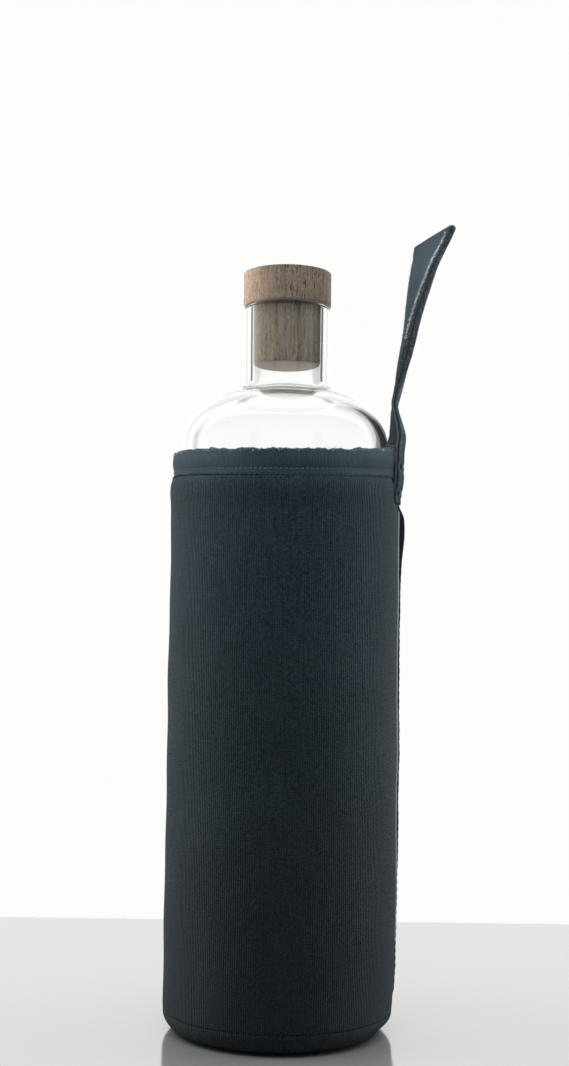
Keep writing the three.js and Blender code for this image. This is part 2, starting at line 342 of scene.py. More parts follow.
def make_hem():
    segments = 640
    ragged = RANDOM.normal(0, 1, segments)
    ragged = (ragged + np.roll(ragged, 1) + 0.6 * np.roll(ragged, 3)) / 1.6

    def shape(theta, radius, z):
        depth = HEM_RADIUS - radius
        outside = 1 - smooth(0, 2.4, depth)
        moved = (hem_radius(theta, z) - HEM_RADIUS) * outside
        cut = smooth(SLEEVE_TOP - 0.7, SLEEVE_TOP - 0.1, z)
        return radius + moved + 0.1 * cut * ragged, z + rise(theta, z) + 0.2 * cut * ragged

    outline = cloth_ring(HEM_RADIUS, STITCH_Z, SLEEVE_TOP, HEM_PLIES, 30, HEM_EDGE)
    return revolved("hem_band_cloth", outline, segments, shape)


def make_base():
    corner = BASE_SEAM_Z
    flat = BASE_HIGH[0] - corner
    inner = corner - SLEEVE_THICKNESS
    outline = line((0, 0), (flat, 0), 12) + arc((flat, corner), corner, -90, 0, 18)
    outline += line((BASE_HIGH[0] - 0.1, corner + 0.05), (flat + inner, corner), 3)
    outline += arc((flat, corner), inner, 0, -90, 8)
    outline += line((flat, SLEEVE_THICKNESS), (0, SLEEVE_THICKNESS), 6)[1:]
    outline += [(0, SLEEVE_THICKNESS)]

    def shape(theta, radius, z):
        from_middle = np.hypot(np.maximum(radius - flat, 0), corner - z)
        outer = smooth(inner + 0.4, corner - 0.4, from_middle) * (radius > flat)
        drawn_in = 0.12 * np.exp(-(((z - corner) / 1.6) ** 2))
        turned_up = smooth(flat, flat + 5, radius) * smooth(corner, 0, z)
        moved = UNEVEN * swell(theta, z) - drawn_in - TUCK * tuck(theta) * smooth(TUCK_TOP, TUCK_FOOT, z)
        lifted = 1.5 * outer * tuck(theta) * turned_up
        return radius + outer * smooth(flat, flat + 5, radius) * moved, z + lifted

    return revolved("sleeve_base_cloth", outline, 288, shape)


SEAM_HALF = 2.5
SEAM_TOP = SEAM_HIGH[2]
SEAM_BOTTOM = SEAM_LOW[2]


def seam_rise(z):
    """How proud the seam's tape stands: most just below the strap, then low and slightly puckered."""
    bulge = np.exp(-(((z - (SEAM_TOP - 9)) / 11) ** 2))
    pucker = 0.05 * np.sin(z * TAU / 11 + 2 * np.sin(z / 17)) * smooth(SEAM_TOP, SEAM_TOP - 30, z)
    ends = smooth(SEAM_TOP + 0.5, SEAM_TOP - 5, z) * smooth(SEAM_BOTTOM - 0.5, SEAM_BOTTOM + 4, z)
    flatter = smooth(70, 38, z)
    return (1.15 - 0.6 * flatter + 1.35 * bulge + pucker) * (0.35 + 0.65 * ends)


def seam_surface(across, z):
    """A point on the tape's outer face, across millimetres round from its middle line."""
    theta = SEAM_ANGLE + across / SLEEVE_RADIUS
    crown = (1 - np.minimum(np.abs(across / SEAM_HALF), 1) ** 4) ** 0.5
    radius = wall_radius(theta, z) + seam_rise(z) * (0.25 + 0.75 * crown)
    return around(radius, theta, z + rise(theta, z))


def make_side_seam():
    z = np.arange(SEAM_BOTTOM, SEAM_TOP, 0.8)[:, None]
    top = np.linspace(-SEAM_HALF, SEAM_HALF, 15)[None, :]
    under = np.linspace(SEAM_HALF, -SEAM_HALF, 5)[None, :]
    face = seam_surface(top + 0 * z, z + 0 * top)
    theta = SEAM_ANGLE + under / SLEEVE_RADIUS
    back = around(wall_radius(theta, z) - 0.4, theta, z + rise(theta, z))
    points = np.concatenate([face, back], 1)
    across = np.concatenate([top[0], under[0], top[0, :1]]) * MM
    return strip("side_seam_tape", points, across, z[:, 0] * MM, sharp=60)


# ---- stitches ----

THREAD = 0.22
HEM_PITCH = 1.7
COVER_ROW = 2.9  # height of the hem's second row above its foot


def on_hem(theta, z, proud):
    return around(hem_radius(theta, z) + proud, theta, z + rise(theta, z))


def hem_stitches():
    """Slanting bites along the foot of the hem."""
    count = int(TAU * HEM_RADIUS / HEM_PITCH)
    paths = []
    for i in range(count):
        theta = TAU * i / count + np.linspace(0, 0.85 / HEM_RADIUS, 6)
        lift = 0.14 + 0.16 * np.sin(np.linspace(0, math.pi, 6))
        slant = np.linspace(-0.35, 0.35, 6)
        if abs(wrapped(theta[2])) * HEM_RADIUS > STRAP_WIDTH / 2:
            paths.append(on_hem(theta, STITCH_Z + 0.65 + slant, lift))
    return threads("hem_lockstitches", paths, THREAD, from_axis)


def hem_cover():
    """The second row of stitches, short and level, that holds the folded edge down."""
    count = int(TAU * HEM_RADIUS / HEM_PITCH)
    paths = []
    for i in range(count):
        theta = TAU * i / count + np.linspace(0, 0.75 / HEM_RADIUS, 5)
        lift = 0.1 + 0.14 * np.sin(np.linspace(0, math.pi, 5))
        if abs(wrapped(theta[2])) * HEM_RADIUS > STRAP_WIDTH / 2:
            paths.append(on_hem(theta, STITCH_Z + COVER_ROW + 0 * theta, lift))
    return threads("hem_cover_stitches", paths, 0.17, from_axis, sides=5)


def base_stitches():
    """Overlock bites along the seam between wall and base."""
    pitch = 2.2
    count = int(TAU * SLEEVE_RADIUS / pitch)
    paths = []
    for i in range(count):
        theta = TAU * (i + np.linspace(0, 0.35, 5)) / count
        z = np.linspace(BASE_SEAM_Z - 1.1, BASE_SEAM_Z + 1.2, 5)
        sunk = np.array([-0.2, -0.12, -0.14, -0.12, -0.2])
        paths.append(around(wall_radius(theta, z) + sunk, theta, z))
    return threads("base_seam_stitches", paths, 0.15, from_axis)


def side_stitches():
    """A chain of stitches sunk along each edge of the seam's tape."""
    paths = []
    for side in (-1, 1):
        for z in np.arange(SEAM_BOTTOM + 1, SEAM_TOP - 4, 2.6):
            place = seam_surface(side * 1.9 + 0 * np.arange(5), z + np.linspace(0, 2.0, 5))
            lift = 0.06 * np.sin(np.linspace(0, math.pi, 5)) - 0.04
            paths.append(place + lift[:, None] * from_axis(place))
    return threads("side_seam_stitches", paths, 0.14, from_axis, sides=5)


def seam_edge():
    """The pale cord of the seam's edge, a little in front of its tape: partly the seam's own pale
    edge thread, partly a painted rim highlight along the wall's edge.
    """
    z = np.arange(30.0, SEAM_TOP - 1, 1.5)
    beside = 2.7
    theta = SEAM_ANGLE - (SEAM_HALF + beside) / SLEEVE_RADIUS + 0 * z
    wander = 0.05 * np.sin(z / 7.0) + 0.03 * np.sin(z / 2.3)
    path = around(wall_radius(theta, z) + 0.07 + wander, theta, z + rise(theta, z))
    return threads("side_seam_edge", [path], 0.25, from_axis, sides=8)


# ---- strap ----

PLY = 2.05  # one full ply
PINCH_Z = 215.0  # where the two plies press together above the sleeve
PINCH_X = 38.25
LEAN = 0.205  # outward run for each millimetre of rise
CURL = 1.3  # the fold stands out by this much more
TWIST = math.radians(24)
SKEW = math.radians(-4)  # at the pinch
SLANT = 0.07  # the fold's fall for each millimetre across
LAP_TOP = LAP_HIGH[2]
LAP_BOTTOM = LAP_LOW[2]
STRAP_TOP = 277.0
TACKS = (LAP_TOP - 5.5, LAP_BOTTOM + 3.0)
CREASE = 0.04  # half of the gap between the plies


def strap_point(across, offset, z):
    """A point of the strap: across its width, off its middle surface, at a height."""
    flat = smooth(202, PINCH_Z + 1, z)
    free = PINCH_X + LEAN * np.maximum(z - PINCH_Z, 0) + CURL * smooth(260, 276, z)
    lap = SLEEVE_RADIUS + 0.65 - 1.3 * smooth(191, 178, z) + 0.8 * smooth(197, 206, z)
    middle = lap * (1 - flat) + free * flat
    radius = lap / np.maximum(1 - flat, 0.01)
    turn = SKEW * flat * smooth(240, 216, z) + TWIST * np.clip((z - 240) / 36, 0, 1) ** 1.5
    a = across / radius
    x = (radius + offset) * np.cos(a) - radius
    y = (radius + offset) * np.sin(a)
    fall = SLANT * across * smooth(250, STRAP_TOP, z)
    across_x = x * np.cos(turn) - y * np.sin(turn)
    across_y = x * np.sin(turn) + y * np.cos(turn)
    far_side = smooth(0, STRAP_WIDTH / 2, across)
    slump = 2.0 * np.exp(-np.maximum(z - 203, 0) / 4.5) * smooth(200, 203, z) * far_side
    return np.stack(np.broadcast_arrays(middle + across_x - slump, across_y, z - fall), -1)


def ply(z):
    """Thickness of one ply: pressed where it is sewn, thinnest at the pinch, full above."""
    pinch = 0.25 * np.exp(-(((z - PINCH_Z - 1) / 5) ** 2))
    return 1.3 - pinch + 0.7 * smooth(218, 233, z) - 0.25 * smooth(254, 264, z)


def strap_path():
    """The strap's middle line from end to end in the (offset, z) plane, its normals, and each
    place's thickness."""
    fold = CREASE + ply(STRAP_TOP) / 2
    crown = STRAP_TOP - fold - ply(STRAP_TOP) / 2
    climb = np.arange(LAP_BOTTOM, crown, 0.55)
    up = [(-(CREASE + ply(z) / 2), z) for z in climb]
    over = arc((0, crown), fold, 180, 0, 12)
    down = [(CREASE + ply(z) / 2, z) for z in climb[::-1]]
    points = np.array(up + over + down)
    tangent = np.gradient(points, axis=0)
    tangent /= np.linalg.norm(tangent, axis=1)[:, None]
    thick = np.array([ply(z) for z in climb] + [ply(STRAP_TOP)] * len(over) + [ply(z) for z in climb[::-1]])
    return points, np.stack([-tangent[:, 1], tangent[:, 0]], 1), thick


def strap_section(half, thickness, columns, edge):
    """A flat strip's section with rounded edges: (across, depth), closed."""
    flat = half - edge
    near = np.linspace(-flat, flat, columns)
    top = [(a, thickness / 2) for a in near]
    right = [(flat + edge * math.cos(a), thickness / 2 * math.sin(a)) for a in np.linspace(1.2, -1.2, 5)]
    bottom = [(a, -thickness / 2) for a in near[::-1]]
    left = [(-x, y) for x, y in right[::-1]]
    return np.array(top + right + bottom + left)


def make_strap():
    path, normal, thick = strap_path()
    section = strap_section(STRAP_WIDTH / 2, PLY, 26, 0.6)
    rows = len(path)
    across = np.tile(section[None, :, 0], (rows, 1))
    depth = section[None, :, 1] * (thick / PLY)[:, None]
    at_edge = smooth(STRAP_WIDTH / 2 - 1.2, STRAP_WIDTH / 2, np.abs(across))
    bite = RANDOM.normal(0, 1, (rows, 2))
    bite = (bite + np.roll(bite, 1, 0)) / 1.4
    side = np.where(across > 0, bite[:, :1], bite[:, 1:])
    along = lengths(np.column_stack([path, np.zeros(rows)])) / MM
    across = across + at_edge * np.sign(across) * (0.14 * side - 0.1)
    height = path[:, 1:]
    loose = smooth(LAP_TOP, PINCH_Z + 8, height)
    drape = 0.1 * np.sin(height / 6.5) * np.cos(across / 5) * loose
    nipped = sum(np.exp(-(((height - z) / 1.3) ** 2)) for z in TACKS)
    depth = depth * (1 - 0.2 * nipped)
    offset = path[:, :1] + normal[:, :1] * depth + drape - 0.45 * nipped * (path[:, :1] > 0)
    points = strap_point(across, offset, height + normal[:, 1:] * depth)
    width = np.concatenate([section[:, 0], section[:1, 0]]) * MM
    return strip("carry_strap", points, width, along * MM, sharp=70)


def on_strap(across, z, proud):
    return strap_point(across, CREASE + ply(z) + proud, z)


def tack_stitches(name, middle):
    """A dense zigzag across the strap, with a knot at the near end."""
    half, pitch = STRAP_WIDTH / 2 - 1.2, 0.62
    count = int(2 * half / pitch)
    paths = []
    for i in range(count):
        across = -half + 2 * half * (i + np.linspace(0.05, 0.95, 5)) / count
        z = middle + np.linspace(-0.95, 0.95, 5) * (1 if i % 2 else -1)
        paths.append(on_strap(across, z, -0.42 + 0.16 * np.sin(np.linspace(0, math.pi, 5))))
    for turn in range(4):
        across = -half - 0.9 + np.linspace(-0.7, 0.7, 6)
        z = middle - 0.4 + 0.45 * turn + 0.5 * np.sin(np.linspace(0, math.pi, 6) + turn)
        paths.append(on_strap(across, z, 0.12 + 0.25 * np.sin(np.linspace(0, math.pi, 6))))
    return threads(name, paths, 0.26, from_axis, sides=6)


# ---- lint ----

def strap_lint():
    """Short pale fibres that stand along the loop's cut edges, on its inner corner."""
    paths = []
    for i in range(600):
        side = 1 if i % 3 == 0 else -1
        z = RANDOM.uniform(PINCH_Z + 22, STRAP_TOP - 3)
        offset = -(CREASE + ply(z)) + RANDOM.uniform(0.0, 0.5)
        heading = RANDOM.normal(0, 1, 3) * np.array([1.0, 0.6, 0.8])
        t = np.linspace(0, RANDOM.uniform(0.2, 0.55), 4)
        root = strap_point(side * (STRAP_WIDTH / 2 - 0.06), offset, z)
        paths.append(root + t[:, None] * heading / np.linalg.norm(heading))
    return threads("carry_strap_lint", paths, 0.1, lambda p: from_axis(p) + 0.01, sides=4)


def make_lint():
    """Pale crumbs of foam and short fibres along the sleeve's cut edge."""
    paths = []
    for theta in RANDOM.uniform(0, TAU, 320):
        size = RANDOM.uniform(0.2, 0.7)
        round_edge = RANDOM.uniform(0, math.pi / 2)
        height = SLEEVE_TOP - HEM_EDGE * (1 - math.sin(round_edge))
        start = on_hem(theta, height, HEM_EDGE * (math.cos(round_edge) - 1) + 0.05)
        heading = RANDOM.normal(0, 1, 3) * np.array([1, 1, 0.8])
        heading = heading / np.linalg.norm(heading)
        bend = RANDOM.normal(0, 0.3, 3)
        t = np.linspace(0, 1, 4)[:, None]
        paths.append(start + size * (t * heading + t * t * bend))
    return threads("hem_lint", paths, 0.1, lambda p: from_axis(p) + 0.01, sides=4)


# ---- glass ----

GLASS_WALL = 2.5
GLASS_FLOOR = 5.5
PUNT_RADIUS = 27
PUNT_DEPTH = 1.2
RIM_ROUND = 1.1
HEEL_ROUND = 3.4
HEEL_ROUND_INSIDE = 5
SHOULDER_Z = 200.4
SHOULDER_RISE = 20.5
SHOULDER_REACH = 28.6
NECK_RADIUS = 15.3
NECK_BORE = 12.05


def shoulder(body, reach, rise_by, neck, fillet):
    """The shoulder's quarter ellipse and the fillet that turns it up into the neck."""
    centre = body - reach
    meet = math.degrees(math.acos((neck + 0.75 * fillet - centre) / reach))
    curve = arc((centre, SHOULDER_Z), (reach, rise_by), 0, meet, 40)
    top = curve[-1][1]
    return curve + arc((neck + fillet, top + fillet), fillet, 250, 180, 12)


def make_glass():
    foot, rim = GLASS_LOW[2], GLASS_HIGH[2]
    body = GLASS_HIGH[0]
    floor = foot + GLASS_FLOOR
    bore = body - GLASS_WALL
    outside = line((0, foot + PUNT_DEPTH), (PUNT_RADIUS, foot + PUNT_DEPTH), 4)
    outside += arc((PUNT_RADIUS + 0.6, foot + 0.6), (1.2, 0.6), 90, 0, 4)[:-1] + [(29.4, foot)]
    outside += arc((body - HEEL_ROUND, foot + HEEL_ROUND), HEEL_ROUND, -90, 0, 10)
    outside += shoulder(body, SHOULDER_REACH, SHOULDER_RISE, NECK_RADIUS, 4.2)
    outside += arc((NECK_RADIUS - RIM_ROUND, rim - RIM_ROUND), RIM_ROUND, 0, 90, 8)
    inside = line((0, floor + 1), (bore - 13, floor + 0.4), 4)
    heel = (bore - HEEL_ROUND_INSIDE, floor + HEEL_ROUND_INSIDE)
    inside += arc(heel, HEEL_ROUND_INSIDE, -90, 0, 10)
    inside += shoulder(bore, SHOULDER_REACH - GLASS_WALL, SHOULDER_RISE - GLASS_WALL, NECK_BORE, 6.0)
    inside += arc((NECK_BORE + RIM_ROUND, rim - RIM_ROUND), RIM_ROUND, 180, 90, 8)

    def blown(theta, radius, z):
        """Glass is never perfectly round: faint ripples inside the shoulder and neck."""
        ripple = 0.05 * swell(theta, 2 * z) * smooth(190, 215, z) * smooth(NECK_RADIUS + 0.5, 20, radius)
        return radius + ripple, z

    return revolved("glass_bottle_body", outside + inside[::-1], 192, blown, sharp=50)


# ---- stopper ----

SPIGOT_RADIUS = 5
SOCKET_RADIUS = 5.3
SOCKET_DEPTH = 6.3


def turning_marks(theta, radius, z):
    """Fine rings left by the lathe, and a trace of out-of-round."""
    mark = 0.018 * np.sin(z * TAU / 0.9) + 0.015 * np.sin(z * TAU / 2.3 + 1)
    return radius + smooth(3, 8, radius) * (mark + 0.05 * np.cos(2 * theta + 0.6)), z


def make_head():
    low, high = HEAD_LOW[2], HEAD_HIGH[2]
    radius, edge = HEAD_HIGH[0] + 0.15, 0.35
    top = [(r, high - 0.1 * (r / radius) ** 6) for r in np.linspace(radius - edge, 0, 10)]
    socket_top, foot_edge = low + SOCKET_DEPTH, 0.5
    outline = line((0, socket_top), (SOCKET_RADIUS, socket_top), 2)
    outline += line((SOCKET_RADIUS, socket_top), (SOCKET_RADIUS, low), 3)
    outline += line((SOCKET_RADIUS, low), (radius - foot_edge, low), 5)
    outline += arc((radius - foot_edge, low + foot_edge), foot_edge, -90, 0, 5)
    outline += line((radius, low + 0.6), (radius, high - edge - 0.1), 24)
    outline += arc((radius - edge, high - edge - 0.1), edge, 0, 90, 7)[:-1] + top
    return revolved("stopper_head_wood", outline, 160, turning_marks)


def make_plug():
    low, high = PLUG_LOW[2], GLASS_HIGH[2]
    radius, edge = PLUG_HIGH[0], 0.35
    outline = line((0, low), (radius - edge, low), 6)
    outline += arc((radius - edge, low + edge), edge, -90, 0, 6)
    outline += line((radius, low + edge + 0.1), (radius, high), 30)
    spigot_top = PLUG_HIGH[2]
    outline += line((radius, high), (SPIGOT_RADIUS, high), 3)
    outline += line((SPIGOT_RADIUS, high), (SPIGOT_RADIUS, spigot_top), 4)
    outline += line((SPIGOT_RADIUS, spigot_top), (0, spigot_top), 2) + [(0, spigot_top)]
    return revolved("stopper_plug_wood", outline, 144, turning_marks)


# ---- materials ----

class Nodes:
    """Short calls for building one material's node tree."""

    def __init__(self, name):
        self.material = bpy.data.materials.new(name)
        self.material.use_nodes = True
        self.tree = self.material.node_tree
        self.shader = self.tree.nodes["Principled BSDF"]

    def set(self, node, **inputs):
        for name, value in inputs.items():
            socket = node.inputs[name.replace("_", " ")]
            if isinstance(value, bpy.types.NodeSocket):
                self.tree.links.new(value, socket)
            else:
                socket.default_value = value

    def add(self, kind, settings=None, **inputs):
        node = self.tree.nodes.new("ShaderNode" + kind)
        for name, value in (settings or {}).items():
            setattr(node, name, value)
        self.set(node, **inputs)
        return node

    def maths(self, operation, a, b=0.0, clamp=False):
        node = self.add("Math", {"operation": operation, "use_clamp": clamp})
        for socket, value in zip(node.inputs, (a, b)):
            if isinstance(value, bpy.types.NodeSocket):
                self.tree.links.new(value, socket)
            else:
                socket.default_value = value
        return node.outputs[0]

    def mix(self, factor, a, b):
        node = self.add("Mix", {"data_type": "RGBA"})
        for index, value in ((0, factor), (6, a), (7, b)):
            if isinstance(value, bpy.types.NodeSocket):
                self.tree.links.new(value, node.inputs[index])
            elif index:
                node.inputs[index].default_value = (*value, 1)
            else:
                node.inputs[index].default_value = value
        return node.outputs[2]

    def ramp(self, value, low, high, to_low=0.0, to_high=1.0):
        node = self.add("MapRange", {"interpolation_type": "SMOOTHSTEP"})
        self.set(node, Value=value, From_Min=low, From_Max=high, To_Min=to_low, To_Max=to_high)
        return node.outputs[0]

    def place(self):
        return self.add("TexCoord").outputs["Object"]

    def scaled(self, vector, scale):
        node = self.add("Mapping", Vector=vector)
        node.inputs["Scale"].default_value = scale
        return node.outputs[0]

    def noise(self, vector, scale, detail=2.0, roughness=0.5):
        return self.add("TexNoise", Vector=vector, Scale=scale, Detail=detail, Roughness=roughness).outputs[0]

    def bump(self, height, distance, strength=1.0):
        return self.add("Bump", Height=height, Distance=distance, Strength=strength).outputs[0]


STRAP_HALF_LENGTH = 0.0961  # metres along the strap from a sewn end to the fold
# Painted shade: the free loop is drawn darker in colour between these distances.
LOOP_PAINTED_SHADE = (0.0415, 0.0595)  # metres from a sewn end
# Painted light and shade at the sewn end: a paler cut edge and a darker inner face, fading out between these
# distances.
END_PAINTED_LIGHT_AND_SHADE = (0.0405, 0.0315)  # metres from a sewn end
CLOTH_GLOSS = 0.25
STRAP_GLOSS = 0.06


def knit(name, dark, light, lint, wale, rib, sheen, edge=None):
    """Knit cloth on neoprene: ribs of loops along V, uneven stitches, and pale lint. UVs are in
    metres. Every knit is drawn darker towards the foot, as painted shade. edge is given for the
    strap only: the half width past which the cut edge's own colour shows, with pale flecks on its
    rim that are partly the fibres' own colour and partly painted highlight. The strap also has
    painted shade along its loop, and at its sewn end a paler cut edge, painted light, and a darker
    inner face, painted shade."""
    n = Nodes(name)
    uv = n.add("UVMap", {"uv_map": "weave"}).outputs[0]
    split = n.add("SeparateXYZ", Vector=uv)
    column = n.maths("DIVIDE", split.outputs[0], wale)
    ridge = n.maths("MULTIPLY", n.maths("PINGPONG", column, 0.5), 2.0)
    course = n.maths("ADD", n.maths("DIVIDE", split.outputs[1], wale * 0.8), n.maths("MULTIPLY", ridge, 0.5))
    loop = n.maths("SINE", n.maths("MULTIPLY", course, TAU))
    yarn = n.maths("MULTIPLY", ridge, n.maths("ADD", n.maths("MULTIPLY", loop, 0.3), 0.7))
    cell = n.add("CombineXYZ", X=n.maths("FLOOR", column), Y=n.maths("FLOOR", course))
    stitch = n.add("TexWhiteNoise", {"noise_dimensions": "2D"}, Vector=cell.outputs[0]).outputs["Value"]
    streak = n.noise(n.scaled(uv, (1.0, 0.045, 1.0)), 1300.0, 2.0)
    mottle = n.noise(n.place(), 900.0, 3.0, 0.6)
    slow = n.noise(n.place(), 26.0, 2.0)
    shade = n.maths("ADD", n.maths("MULTIPLY", yarn, rib), n.maths("MULTIPLY", n.ramp(streak, 0.3, 0.7), 0.2))
    shade = n.maths("ADD", shade, n.maths("MULTIPLY", n.ramp(mottle, 0.35, 0.7), 0.22))
    shade = n.maths("ADD", shade, n.maths("MULTIPLY", stitch, rib * 0.7))
    shade = n.maths("ADD", shade, n.maths("MULTIPLY", n.maths("SUBTRACT", slow, 0.5), 0.5), clamp=True)
    colour = n.mix(shade, dark, light)
    # Painted shade: every knit is drawn up to 42 % nearer its dark colour towards the foot, for light that
    # falls off low down.
    foot = n.ramp(n.add("SeparateXYZ", Vector=n.place()).outputs[2], 0.012, 0.1, 0.42, 0.0)
    colour = n.mix(foot, colour, dark)
    fine = n.ramp(n.noise(n.place(), 2300.0, 1.0), 0.64, 0.74)
    colour = n.mix(n.maths("MULTIPLY", fine, 0.35), colour, lint)
    if edge:
        from_end = n.maths("PINGPONG", split.outputs[1], STRAP_HALF_LENGTH)
        # Painted shade: the free loop is drawn up to 60 % nearer its dark colour.
        colour = n.mix(n.ramp(from_end, *LOOP_PAINTED_SHADE, 0.0, 0.6), colour, dark)
        aside = n.maths("ABSOLUTE", split.outputs[0])
        # Pale flecks along the rim: partly the cut edge fibres' own pale colour, partly painted highlight.
        rim = n.ramp(aside, edge - 0.0011, edge - 0.0007)
        core = n.ramp(aside, edge - 0.0004, edge - 0.0002)
        fray_and_glint = n.ramp(n.noise(n.place(), 1500.0, 2.0), 0.48, 0.58)
        pale = tuple(2.2 * channel for channel in lint)
        colour = n.mix(n.maths("MULTIPLY", n.maths("MULTIPLY", rim, fray_and_glint), 0.75), colour, pale)
        foam = n.mix(n.ramp(n.noise(n.place(), 900.0, 2.0), 0.4, 0.65), FOAM, tuple(1.7 * c for c in FOAM))
        colour = n.mix(core, colour, foam)
        # Painted light: the cut edge at the sewn end is drawn paler, up to 2.6 times the foam colour.
        low = n.ramp(from_end, *END_PAINTED_LIGHT_AND_SHADE)
        colour = n.mix(n.maths("MULTIPLY", core, low), colour, tuple(2.6 * c for c in FOAM))
        # Painted shade: the strap's inner face at the sewn end is drawn darker, towards half the foam colour.
        inward = n.add("SeparateXYZ", Vector=n.add("NewGeometry").outputs["Normal"]).outputs[0]
        painted_fold_shade = n.maths("MULTIPLY", low, n.ramp(inward, -0.2, -0.6))
        colour = n.mix(n.maths("MULTIPLY", painted_fold_shade, 0.8), colour, tuple(0.5 * c for c in FOAM))
    n.set(n.shader, Base_Color=colour, Roughness=n.ramp(yarn, 0.0, 1.0, 0.95, 0.78))
    height = n.maths("ADD", yarn, n.maths("MULTIPLY", mottle, 0.5))
    height = n.maths("ADD", height, n.maths("MULTIPLY", stitch, 0.3))
    n.set(n.shader, Normal=n.bump(height, 0.00042, 0.9))
    n.shader.inputs["Specular IOR Level"].default_value = STRAP_GLOSS if edge else CLOTH_GLOSS
    n.shader.inputs["Sheen Weight"].default_value = sheen
    n.shader.inputs["Sheen Roughness"].default_value = 0.38
    n.shader.inputs["Sheen Tint"].default_value = (0.72, 0.86, 0.95, 1)
    return n.material


def thread_material(name, dark, light):
    n = Nodes(name)
    split = n.add("SeparateXYZ", Vector=n.add("UVMap", {"uv_map": "weave"}).outputs[0])
    lengthwise = n.maths("MULTIPLY", split.outputs[1], 9000.0)
    turn = n.maths("ADD", lengthwise, n.maths("MULTIPLY", split.outputs[0], 4500.0))
    ply = n.maths("ADD", n.maths("MULTIPLY", n.maths("SINE", turn), 0.5), 0.5)
    n.set(n.shader, Base_Color=n.mix(ply, dark, light))
    n.set(n.shader, Roughness=n.ramp(ply, 0.0, 1.0, 0.8, 0.55), Normal=n.bump(ply, 0.00005))
    n.shader.inputs["Sheen Weight"].default_value = 0.25
    return n.material


def lint_material():
    n = Nodes("pale_lint")
    colour = n.mix(n.noise(n.place(), 1200.0), (0.3, 0.34, 0.36), (0.8, 0.83, 0.84))
    n.set(n.shader, Base_Color=colour, Roughness=0.9)
    return n.material


def wood_material():
    """Grey-brown wood whose grain runs along Z, with open pores."""
    n = Nodes("turned_walnut")
    place = n.place()
    warp = n.noise(n.scaled(place, (1.0, 1.0, 0.25)), 95.0, 2.0)
    bands = n.noise(n.scaled(place, (1.0, 1.0, 0.07)), 900.0, 3.0, 0.6)
    fibres = n.noise(n.scaled(place, (1.0, 1.0, 0.06)), 2600.0, 2.0)
    grains = n.noise(n.scaled(place, (1.0, 1.0, 0.4)), 2400.0, 2.0)
    tone = n.maths("ADD", n.maths("MULTIPLY", n.ramp(bands, 0.3, 0.7), 0.35), n.maths("MULTIPLY", warp, 0.45))
    tone = n.maths("ADD", tone, n.maths("MULTIPLY", n.maths("SUBTRACT", fibres, 0.5), 0.6))
    tone = n.maths("ADD", tone, n.maths("MULTIPLY", n.maths("SUBTRACT", grains, 0.45), 1.3), clamp=True)
    colour = n.mix(tone, (0.085, 0.06, 0.046), (0.3, 0.225, 0.168))
    pores = n.noise(n.scaled(place, (1.0, 1.0, 0.16)), 2300.0, 1.0)
    pore = n.ramp(pores, 0.6, 0.7)
    colour = n.mix(n.maths("MULTIPLY", pore, 0.8), colour, (0.04, 0.03, 0.025))
    # Downward faces drawn pale pink: partly the end grain's own paler tone, partly painted light from below.
    facing_down = n.add("SeparateXYZ", Vector=n.add("NewGeometry").outputs["Normal"]).outputs[2]
    cut_end_painted_light = n.ramp(facing_down, -0.7, -0.9, 0.0, 0.75)
    colour = n.mix(cut_end_painted_light, colour, (0.9, 0.7, 0.6))
    n.set(n.shader, Base_Color=colour, Roughness=n.ramp(pore, 0.0, 1.0, 0.55, 0.8))
    height = n.maths("SUBTRACT", n.maths("MULTIPLY", fibres, 0.4), pore)
    n.set(n.shader, Normal=n.bump(height, 0.00012, 0.6))
    n.shader.inputs["Specular IOR Level"].default_value = 0.3
    return n.material


def glass_material():
    n = Nodes("clear_flint_glass")
    faint = n.noise(n.place(), 60.0, 2.0)
    n.set(n.shader, Base_Color=(0.995, 1, 0.998, 1), Roughness=n.ramp(faint, 0.3, 0.7, 0.0, 0.012))
    n.shader.inputs["Transmission Weight"].default_value = 1.0
    n.shader.inputs["IOR"].default_value = 1.5
    depth = n.add("VolumeAbsorption")
    depth.inputs["Color"].default_value = (0.9, 0.93, 0.89, 1)
    depth.inputs["Density"].default_value = 90.0
    n.tree.links.new(depth.outputs[0], n.tree.nodes["Material Output"].inputs["Volume"])
    return n.material


# ---- assembly ----

def finish_piece(piece, material, body, slot, *nodes):
    piece.data.materials.append(material)
    if body:
        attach(piece, body)
    if nodes:
        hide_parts(*nodes)
    return piece


LINT = (0.10, 0.125, 0.14)
FOAM = (0.05, 0.058, 0.064)
WALL_KNIT = knit("sleeve_knit", (0.006, 0.012, 0.018), (0.037, 0.058, 0.072), LINT, 0.00078, 0.45, 0.2)
TAPE_KNIT = knit("tape_knit", (0.012, 0.015, 0.018), (0.034, 0.041, 0.046), LINT, 0.00078, 0.2, 0.15)
HEM_KNIT = knit("hem_knit", (0.024, 0.045, 0.056), (0.057, 0.095, 0.112), LINT, 0.0005, 0.12, 0.4)
STRAP_KNIT = knit("strap_knit", (0.026, 0.042, 0.056), (0.077, 0.11, 0.133), LINT, 0.0006, 0.2, 0.1, 0.0124)
THREAD_FINISH = thread_material("dark_thread", (0.008, 0.012, 0.017), (0.035, 0.047, 0.06))
HEM_THREAD = thread_material("hem_thread", (0.07, 0.1, 0.11), (0.24, 0.3, 0.32))
# Near-white: partly the edge thread's own colour, partly a painted rim highlight.
EDGE_THREAD_AND_HIGHLIGHT = thread_material("edge_thread_and_highlight", (0.55, 0.57, 0.6), (0.95, 0.97, 1.0))
PALE_LINT = lint_material()
WOOD = wood_material()

